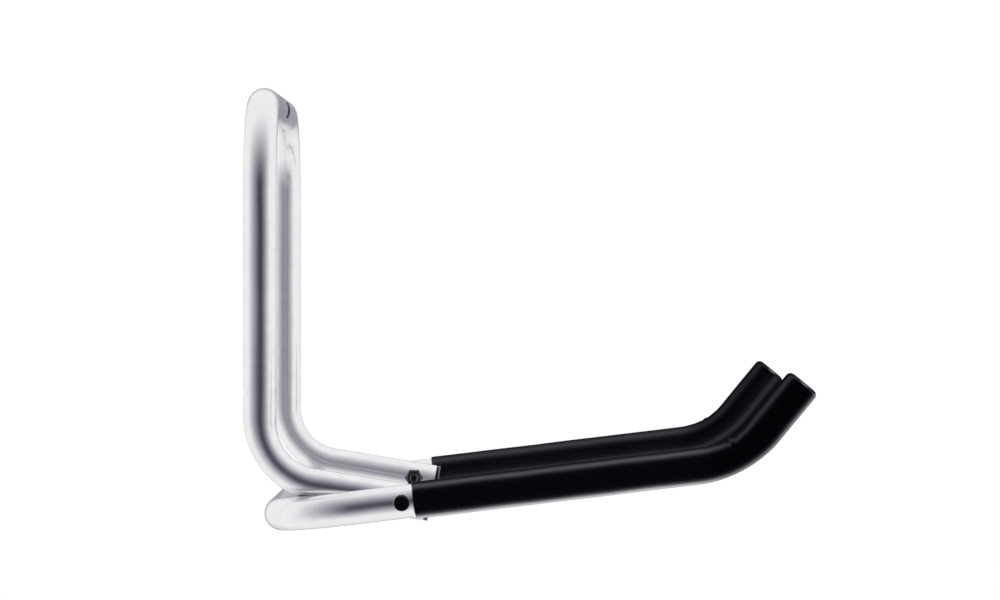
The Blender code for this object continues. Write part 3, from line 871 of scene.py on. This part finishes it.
def make_pivots():
    """Everything on the two pivot screws, from the head outside the arm to the nut inside the frame."""
    head_washer_seat = ARM_Y + TUBE_RADIUS + GAP
    head_seat = head_washer_seat + WASHER_THICKNESS + GAP
    nut_washer_seat = LEG_Y - TUBE_RADIUS - GAP
    nut_seat = nut_washer_seat - WASHER_THICKNESS - GAP
    hole = PIVOT_HOLE / 2
    axis = Vector((PIVOT_REACH, 0, 0))
    washer = (hole, WASHER_RADIUS, WASHER_THICKNESS)
    spacer = (hole, SPACER_RADIUS, SPACER_THICKNESS)
    insert = (hole, INSERT_RADIUS, INSERT_THICKNESS)
    for label, side in SIDES.items():
        outward = AXIS_Y * side
        spots = [
            ("head_washer_", washer, head_washer_seat, outward, "zinc_steel"),
            ("spacer_washer_", spacer, LEG_Y + TUBE_RADIUS + GAP, outward, "black_nylon"),
            ("nut_washer_", washer, nut_washer_seat, -outward, "zinc_steel"),
            ("nut_insert_", insert, nut_seat - NUT_HEIGHT + INSERT_THICKNESS, -outward, "black_nylon"),
        ]
        for stem, sizes, reach, way, slot_name in spots:
            place = place_along(way, axis + outward * reach)
            name = stem + "turned_" + label
            make_ring(name, sizes, RING_EDGE, place, "wall_frame", slot_name, stem + label)
        make_screw(label, axis + outward * head_seat, outward)
        make_nut(label, axis + outward * nut_seat, -outward)
        make_bush("frame_bush_turned_" + label, axis + outward * LEG_Y, "wall_frame", "frame_bush_" + label)
        make_bush("arm_bush_turned_" + label, outward * ARM_Y, "arm", "arm_bush_" + label, ARM_PLACE)
        make_plug(label, side)


# Sleeves

def sleeve_frames(side, start, end_extra):
    """Function that gives, for a distance from the open end, the axis point in the arm and its turn."""
    straight = ARM_FRONT_REACH - start
    arc = ELBOW_RADIUS * ELBOW_ANGLE

    def at(distance):
        if distance <= straight:
            return Vector((start + distance, side * ARM_Y, 0)), 0.0
        turn = min((distance - straight) / ELBOW_RADIUS, ELBOW_ANGLE)
        rest = max(distance - straight - arc, 0.0)
        x = ARM_FRONT_REACH + ELBOW_RADIUS * sin(turn) + cos(turn) * rest
        return Vector((x, side * ARM_Y, ELBOW_RADIUS * (1 - cos(turn)) + sin(turn) * rest)), turn

    return at, straight + arc + TIP_LENGTH + end_extra


def sleeve_relief(angle, along, crease, depth):
    """Small rise and fall of the sleeve's skin: a pinched fold inside the elbow and a slight unevenness."""
    top = max(0.0, cos(angle))
    fold = along - crease - 0.0012 * sin(angle)
    pinch = 0.0018 * exp(-(fold / 0.0014) ** 2) - 0.0010 * exp(-((fold + 0.0032) / 0.0015) ** 2)
    pinch -= 0.0008 * exp(-((fold - 0.0048) / 0.0026) ** 2)
    second = 0.00035 * exp(-((fold + 0.017) / 0.0030) ** 2) - 0.00025 * exp(-((fold - 0.014) / 0.0035) ** 2)
    waves = 0.00005 * sin(along * 61 + 2 * angle) + 0.00004 * sin(along * 113 - 3 * angle + 1.3)
    return (pinch + second) * depth * top ** 2.2 + waves


def sleeve_profile(length, rim):
    """Pairs of distance from the open end and radius, along the skin to the closed end and back inside."""
    profile = []
    for index in range(7):
        turn = pi * index / 6
        profile.append((rim * (1 - sin(turn)), SLEEVE_BORE + rim - rim * cos(turn)))
    skin_end = length - SLEEVE_EDGE_RADIUS
    steps = ceil(skin_end / SLEEVE_STEP)
    profile += [(rim + (skin_end - rim) * index / steps, SLEEVE_RADIUS) for index in range(1, steps)]
    for index in range(11):
        turn = pi / 2 * index / 10
        drop = SLEEVE_EDGE_RADIUS * (1 - cos(turn))
        profile.append((length - SLEEVE_EDGE_RADIUS * (1 - sin(turn)), SLEEVE_RADIUS - drop))
    profile += [(length - 0.00005, 0.0095), (length - 0.00012, 0.0085), (length - 0.0001, 0.004),
                (length - 0.0001, 0)]
    inner_end = length - SLEEVE_END
    profile += [(inner_end, 0), (inner_end, SLEEVE_BORE - 0.0006), (inner_end - 0.0006, SLEEVE_BORE)]
    steps = ceil(inner_end / STRAIGHT_STEP)
    return profile + [(inner_end * (1 - index / steps), SLEEVE_BORE) for index in range(1, steps)]


def make_sleeve(label, side):
    """Soft sleeve with a rolled open rim, a pinched fold inside its elbow and a rounded closed end."""
    start = SLEEVE_STARTS[label]
    crease, depth = SLEEVE_FOLDS[label]
    at, length = sleeve_frames(side, start, GAP + SLEEVE_END)
    rim = (SLEEVE_RADIUS - SLEEVE_BORE) / 2
    shape = bmesh.new()
    rings = []
    wrap = []
    for along, radius in sleeve_profile(length, rim):
        centre, turn = at(along)
        up = Vector((-sin(turn), 0, cos(turn)))
        if radius == 0:
            rings.append([shape.verts.new(centre)])
            wrap += [0.0, 0.0, along]
            continue
        outside = radius > SLEEVE_BORE + rim * 0.5
        ring = []
        for index in range(TUBE_SIDES):
            angle = 2 * pi * index / TUBE_SIDES
            reach = radius + (sleeve_relief(angle, along, crease - start, depth) if outside else 0.0)
            ring.append(shape.verts.new(centre + up * reach * cos(angle) + AXIS_Y * reach * sin(angle)))
            wrap += [reach * cos(angle), reach * sin(angle), along]
        rings.append(ring)
    bridge(shape, zip(rings, rings[1:] + rings[:1]), TUBE_SIDES)
    mesh = mesh_from(shape, "sleeve")
    mesh.attributes.new("wrap", "FLOAT_VECTOR", "POINT").data.foreach_set("vector", wrap)
    elbow, end = elbow_and_tip(side, TIP_LENGTH)
    flatten_bends(mesh, bend_line([Vector((start, side * ARM_Y, 0)), elbow, end], [ELBOW_RADIUS])[1])
    mesh.transform(ARM_PLACE)
    return finish_piece("soft_sleeve_" + label, mesh, "arm", "soft_sleeve", ["grip_sleeve_" + label])


# Studio

# The studio's soft lights, set by looking at renders beside the photo. Each has the turn of its
# middle from the camera's side, its elevation, the angle at which it fades to half, and its level. A board
# keeps light off, so its level is below zero. Angles are in degrees and levels in hundredths.
LEFT_PANEL = (-110, 0, 45, 90)
RIGHT_PANEL = (100, 0, 40, 95)
ROOF = (180, 65, 50, 90)
TABLE = (0, -90, 45, 90)
CAMERA_BOARD = (10, 0, 30, -25)
FAR_BOARD = (0, 0, 30, -15)
NEAR_ROOM = (8, [LEFT_PANEL, RIGHT_PANEL, ROOF, TABLE, CAMERA_BOARD])
FAR_ROOM = (18, [LEFT_PANEL, RIGHT_PANEL, ROOF, TABLE, FAR_BOARD])

# What the sleeves mirror: a strip over them and one under them, each with the angle of its middle from the
# camera's side, up or down, the angle at which it fades to half, and its level.
NEAR_SLEEVE = (4, [(100, 15, 150), (-130, 20, 350)])
FAR_SLEEVE = (6, [(95, 20, 80), (-65, 20, 150)])
TIP_SHARE = 0.4
DARKEST = 0.03
EDGE_SHADE = 0.38
GLINT = 4.0
ROOM_SIZE = 3.0
BRIGHTEST = 0.97


def soft_lights(tree, way, room):
    """Level in a direction: the room's plain level and its lights, each fading out round its middle."""
    plain, lights = room
    level = plain / 100
    for turn, elevation, fade, strength in lights:
        turn, elevation = radians(turn), radians(elevation)
        middle = (sin(turn) * cos(elevation), -cos(turn) * cos(elevation), sin(elevation))
        facing = joined_vectors(tree, "DOT_PRODUCT", way, middle).outputs["Value"]
        away = joined(tree, "DIVIDE", joined(tree, "SUBTRACT", 1.0, facing), 1 - cos(radians(fade)))
        level = joined(tree, "MULTIPLY_ADD", joined(tree, "POWER", 0.5, away), strength / 100, level)
    return joined(tree, "MINIMUM", joined(tree, "MAXIMUM", level, DARKEST), BRIGHTEST)


def soft_panels(tree, pitch, room):
    """Level at an angle from the camera's side: the room's plain level and its panels."""
    plain, panels = room
    level = plain / 100
    for middle, fade, strength in panels:
        away = joined(tree, "DIVIDE", joined(tree, "SUBTRACT", pitch, radians(middle)), radians(fade))
        glow = joined(tree, "POWER", 0.5, joined(tree, "MULTIPLY", away, away))
        level = joined(tree, "MULTIPLY_ADD", glow, strength / 100, level)
    return level


def studio_level(tree, way, place):
    """Brightness that gloss at a place sees in a direction: panels all round, dark round the camera."""
    x, y, z = add_node(tree, "ShaderNodeSeparateXYZ", Vector=way).outputs
    here_x, here_y, here_z = add_node(tree, "ShaderNodeSeparateXYZ", Vector=place).outputs
    far = graded(tree, here_y, -0.12, 0.10)
    behind = blended(tree, graded(tree, y, 0.87, 0.985), 1.0, EDGE_SHADE)
    bare = blended(tree, far, soft_lights(tree, way, NEAR_ROOM), soft_lights(tree, way, FAR_ROOM))
    bare = joined(tree, "MULTIPLY", bare, behind)

    # Angle from the camera's side, above zero for what comes from over the level
    around = joined(tree, "SQRT", joined(tree, "SUBTRACT", 1.0, joined(tree, "MULTIPLY", y, y)))
    front = joined(tree, "MULTIPLY", y, -1.0)
    pitch = joined(tree, "MULTIPLY", joined(tree, "ARCTAN2", around, front), joined(tree, "SIGN", z))
    at_tip = graded(tree, here_x, 0.335, 0.367)
    strips = blended(tree, far, soft_panels(tree, pitch, NEAR_SLEEVE), soft_panels(tree, pitch, FAR_SLEEVE))
    strips = joined(tree, "MULTIPLY", strips, blended(tree, at_tip, 1.0, TIP_SHARE))
    glint = graded(tree, joined(tree, "MULTIPLY", x, z), 0.40, 0.48)
    sleeves = joined(tree, "MULTIPLY_ADD", glint, GLINT, strips)

    # The sleeves' zone: past their open ends, and outside the frame's legs
    along = joined(tree, "MULTIPLY_ADD", here_z, tan(ARM_RISE), here_x)
    starts = [PIVOT_REACH + SLEEVE_STARTS[label] / cos(ARM_RISE) for label in ("left", "right")]
    past_start = joined(tree, "SUBTRACT", along, blended(tree, far, *starts))
    outside = graded(tree, joined(tree, "ABSOLUTE", here_y), 0.1965, 0.199)
    covered = joined(tree, "MULTIPLY", graded(tree, past_start, -0.0006, 0.0), outside)
    return blended(tree, covered, bare, sleeves)


def make_world():
    """White for the camera and even soft light on rough surfaces."""
    world = bpy.data.worlds.new("studio")
    bpy.context.scene.world = world
    world.use_nodes = True
    tree = world.node_tree
    tree.nodes.clear()
    even = add_node(tree, "ShaderNodeBackground", Strength=0.85, Color=(1, 1, 1, 1))
    white = add_node(tree, "ShaderNodeBackground", Strength=1.0, Color=(1, 1, 1, 1))
    rays = add_node(tree, "ShaderNodeLightPath")
    seen = add_node(tree, "ShaderNodeMixShader", Fac=rays.outputs["Is Camera Ray"])
    tree.links.new(even.outputs[0], seen.inputs[1])
    tree.links.new(white.outputs[0], seen.inputs[2])
    add_node(tree, "ShaderNodeOutputWorld", Surface=seen.outputs[0])


def make_room():
    """Box of light panels round the hanger, seen only in gloss; each spot sees it from its own place."""
    shape = bmesh.new()
    bmesh.ops.create_cube(shape, size=ROOM_SIZE, matrix=Matrix.Translation((0.2, 0, 0.1)))
    mesh = mesh_from(shape, "room")
    room = hold("room", mesh)
    material = bpy.data.materials.new("light_panels")
    material.use_nodes = True
    tree = material.node_tree
    tree.nodes.clear()
    spot = add_node(tree, "ShaderNodeNewGeometry").outputs
    ray = add_node(tree, "ShaderNodeLightPath").outputs["Ray Length"]
    back = add_node(tree, "ShaderNodeVectorMath", {"operation": "SCALE"}, Vector=spot["Incoming"], Scale=ray)
    place = joined_vectors(tree, "ADD", spot["Position"], back.outputs[0]).outputs[0]
    way = add_node(tree, "ShaderNodeVectorMath", {"operation": "SCALE"}, Vector=spot["Incoming"], Scale=-1.0)
    level = studio_level(tree, way.outputs[0], place)
    blue = joined(tree, "MAXIMUM", joined(tree, "POWER", level, 0.885), level)
    tint = add_node(tree, "ShaderNodeCombineColor", Red=level, Green=level, Blue=blue)
    glow = add_node(tree, "ShaderNodeEmission", Color=tint.outputs[0], Strength=1.0)
    add_node(tree, "ShaderNodeOutputMaterial", Surface=glow.outputs[0])
    material.cycles.emission_sampling = "NONE"
    mesh.materials.append(material)
    room.visible_camera = False
    room.visible_diffuse = False
    room.visible_transmission = False
    room.visible_volume_scatter = False
    room.visible_shadow = False


def make_floor():
    """Plain pale floor well under the hanger, which keeps its shadow."""
    mesh = bpy.data.meshes.new("floor")
    reach, z = 2.4, -0.62
    corners = [(-reach, -reach, z), (reach, -reach, z), (reach, reach, z), (-reach, reach, z)]
    mesh.from_pydata(corners, [], [(0, 1, 2, 3)])
    floor = hold("floor", mesh)
    material = bpy.data.materials.new("pale_floor")
    material.use_nodes = True
    tree = material.node_tree
    shader = tree.nodes["Principled BSDF"]
    shader.inputs["Base Color"].default_value = (0.92, 0.92, 0.92, 1)
    shader.inputs["Roughness"].default_value = 0.8
    shader.inputs["Emission Color"].default_value = (1, 1, 1, 1)
    seen = add_node(tree, "ShaderNodeLightPath").outputs["Is Camera Ray"]
    tree.links.new(joined(tree, "MULTIPLY", seen, 0.25), shader.inputs["Emission Strength"])
    mesh.materials.append(material)
    floor.visible_glossy = False


def make_lamp(name, place, size, level):
    """Soft box that faces down, with the level of light that its face shows."""
    lamp = bpy.data.lights.new(name, "AREA")
    lamp.shape = "RECTANGLE"
    lamp.size, lamp.size_y = size
    lamp.energy = level * pi * size[0] * size[1]
    holder = hold(name, lamp)
    holder.location = place
    holder.visible_camera = False
    holder.visible_glossy = False
    return holder


def make_camera():
    camera = bpy.data.cameras.new("camera")
    camera.lens = 159.66
    camera.sensor_width = 36.0
    camera.shift_x = -0.01817
    camera.shift_y = -0.03191
    camera.clip_end = 50.0
    holder = hold("camera", camera)
    holder.location = (0.2069, -3.5215, 0.1745)
    holder.rotation_euler = (pi / 2, 0, 0)
    bpy.context.scene.camera = holder


TUBE_TREE = build_tube_tree()
THREAD_TREE = build_thread_tree()
make_tubes()
make_pivots()
for sleeve_label, sleeve_side in SIDES.items():
    make_sleeve(sleeve_label, sleeve_side)
make_world()
make_floor()
make_room()
make_lamp("overhead_soft_box", (0.2, 0.35, 0.95), (1.5, 1.1), 1.0)
make_camera()
bpy.context.scene.view_settings.view_transform = "Standard"
